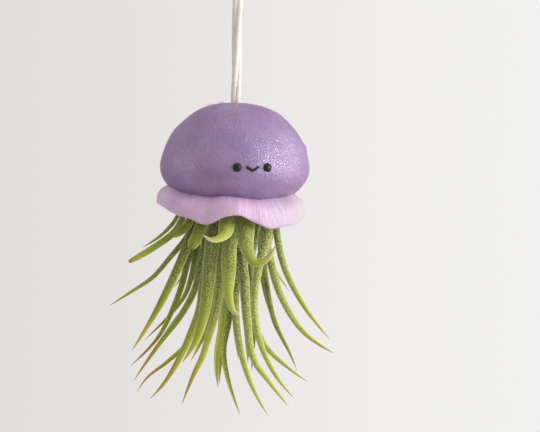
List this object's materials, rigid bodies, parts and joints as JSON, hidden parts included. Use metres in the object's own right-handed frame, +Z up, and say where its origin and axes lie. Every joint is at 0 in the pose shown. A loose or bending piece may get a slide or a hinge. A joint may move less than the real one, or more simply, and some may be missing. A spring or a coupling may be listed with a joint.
{
  "type": "air plant holder",
  "caption": "Hanging hollow clay jellyfish bell with a ruffled skirt on a knotted cord; an air plant sits upside down in its mouth as tentacles.",
  "frame": {"origin": "inside top of the hanging loop, where the hook or nail bears", "axes": "+Z up along the taut cord, the face looks along -Y, +X to the right of someone who faces it"},
  "size_m": [0.0748, 0.0682, 0.1917],
  "materials": {
    "bell_clay": "satin",
    "skirt_clay": "satin",
    "face_clay": "satin",
    "spot_clay": "satin",
    "cotton_cord": "matt",
    "leaf": "satin",
    "leaf_sheath": "satin"
  },
  "bodies": {
    "cord": {"cord_loop": "cotton_cord", "loop_knot": "cotton_cord", "cord_line": "cotton_cord", "stop_knot": "cotton_cord"},
    "bell": {"bell": "bell_clay", "skirt": "skirt_clay", "eye_left": "face_clay", "eye_right": "face_clay", "smile": "face_clay", "crown_spots": "spot_clay"},
    "plant": {"plant_base": "leaf_sheath", "leaf_01": "leaf", "leaf_02": "leaf", "leaf_03": "leaf", "leaf_04": "leaf", "leaf_05": "leaf", "leaf_06": "leaf", "leaf_07": "leaf", "leaf_08": "leaf", "leaf_09": "leaf", "leaf_10": "leaf", "leaf_11": "leaf", "leaf_12": "leaf", "leaf_13": "leaf", "leaf_14": "leaf", "leaf_15": "leaf", "leaf_16": "leaf", "leaf_17": "leaf", "leaf_18": "leaf", "leaf_19": "leaf", "leaf_20": "leaf", "leaf_21": "leaf", "leaf_22": "leaf", "leaf_23": "leaf", "leaf_24": "leaf", "leaf_25": "leaf", "leaf_26": "leaf", "leaf_27": "leaf", "leaf_28": "leaf", "leaf_29": "leaf", "leaf_30": "leaf", "leaf_31": "leaf", "leaf_32": "leaf", "leaf_33": "leaf", "leaf_34": "leaf", "leaf_35": "leaf"}
  },
  "joints": [
    {"name": "bell_swivel", "type": "hinge", "parent": "cord", "child": "bell", "pos_m": [0, 0, -0.077], "axis": [0, 0, 1], "continuous": true},
    {"name": "plant_pull", "type": "slide", "parent": "bell", "child": "plant", "axis": [0, 0, -1], "range_m": [0, 0.1]}
  ]
}
